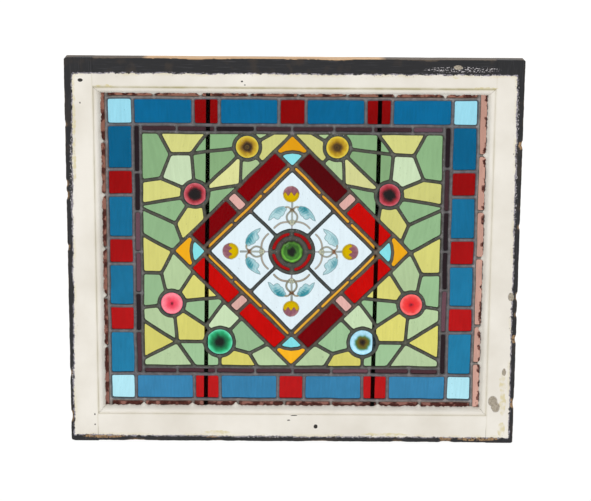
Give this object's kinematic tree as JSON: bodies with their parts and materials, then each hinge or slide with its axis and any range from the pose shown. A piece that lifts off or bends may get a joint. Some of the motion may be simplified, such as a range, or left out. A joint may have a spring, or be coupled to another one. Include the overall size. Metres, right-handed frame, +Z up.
{
  "type": "stained glass window",
  "caption": "Leaded stained glass window in a painted wooden sash: a diamond of flower-painted panes in a crazed green field with rondels and a bright border.",
  "frame": {"origin": "middle of the sash's bottom edge, half way through its thickness, where it stands on the sill", "axes": "+X to the viewer's right, -Y towards the viewer (the moulded side), +Z up"},
  "size_m": [0.711, 0.035, 0.616],
  "materials": {
    "painted_pine": "old off-white oil paint on pine, chipped at the arrises, bare wood and dirt along the outer edges",
    "cast_lead": "lead came with soldered joints, dull grey, darkened by age",
    "black_steel": "square steel bar, black and lightly rusted",
    "linseed_putty": "hardened linseed oil putty, hand smoothed",
    "cobalt_glass": "cathedral glass, deep blue, faint ripple",
    "ice_blue_glass": "cathedral glass, pale ice blue",
    "amethyst_glass": "dark amethyst glass in narrow strips",
    "sage_glass": "cathedral glass, sage green, faint ripple",
    "celadon_glass": "cathedral glass, pale celadon green",
    "straw_glass": "cathedral glass, straw yellow",
    "ruby_glass": "flashed ruby glass",
    "rose_glass": "opalescent rose pink glass",
    "amber_glass": "amber yellow glass",
    "sky_glass": "bright sky blue glass",
    "painted_opal": "pale blue-white glass with fired enamel flowers and leaves",
    "honey_rondel": "pressed rondel, honey yellow with a brown middle",
    "rose_rondel": "pressed rondel, rose red with a black middle",
    "pink_rondel": "pressed rondel, clear pink",
    "coral_rondel": "pressed rondel, coral red",
    "sea_green_rondel": "pressed rondel, sea green with a black middle",
    "pale_blue_rondel": "pressed rondel, pale blue with an olive middle",
    "green_jewel": "pressed jewel, grass green with a dark middle"
  },
  "bodies": {
    "root": {"stile_left": "painted_pine", "stile_right": "painted_pine", "rail_top": "painted_pine", "rail_bottom": "painted_pine", "came_lattice": "cast_lead", "support_bar_left": "black_steel", "support_bar_right": "black_steel", "glazing_putty": "linseed_putty", "outer_fillet_top": "amethyst_glass", "border_top": "cobalt_glass", "inner_fillet_top": "amethyst_glass", "point_amber_top": "amber_glass", "point_blue_top": "sky_glass", "painted_pane_top": "painted_opal", "outer_fillet_bottom": "amethyst_glass", "border_bottom": "cobalt_glass", "inner_fillet_bottom": "amethyst_glass", "point_amber_bottom": "amber_glass", "point_blue_bottom": "sky_glass", "painted_pane_bottom": "painted_opal", "outer_fillet_left": "amethyst_glass", "border_left": "cobalt_glass", "inner_fillet_left": "amethyst_glass", "point_amber_left": "amber_glass", "point_blue_left": "sky_glass", "painted_pane_left": "painted_opal", "outer_fillet_right": "amethyst_glass", "border_right": "cobalt_glass", "inner_fillet_right": "amethyst_glass", "point_amber_right": "amber_glass", "point_blue_right": "sky_glass", "painted_pane_right": "painted_opal", "corner_square_top_left": "ice_blue_glass", "corner_square_top_right": "ice_blue_glass", "corner_square_bottom_left": "ice_blue_glass", "corner_square_bottom_right": "ice_blue_glass", "field_upper_left": "sage_glass", "diamond_red_upper_left": "ruby_glass", "diamond_strip_upper_left": "amber_glass", "field_upper_right": "sage_glass", "diamond_red_upper_right": "ruby_glass", "diamond_strip_upper_right": "amber_glass", "field_lower_left": "sage_glass", "diamond_red_lower_left": "ruby_glass", "diamond_strip_lower_left": "amber_glass", "field_lower_right": "sage_glass", "diamond_red_lower_right": "ruby_glass", "diamond_strip_lower_right": "amber_glass", "centre_ring_red": "ruby_glass", "centre_jewel": "green_jewel", "rondel_amber_left": "honey_rondel", "rondel_red_left": "rose_rondel", "rondel_amber_right": "honey_rondel", "rondel_red_right": "rose_rondel", "rondel_pink": "pink_rondel", "rondel_coral": "coral_rondel", "rondel_green": "sea_green_rondel", "rondel_pale_blue": "pale_blue_rondel"}
  },
  "joints": []
}
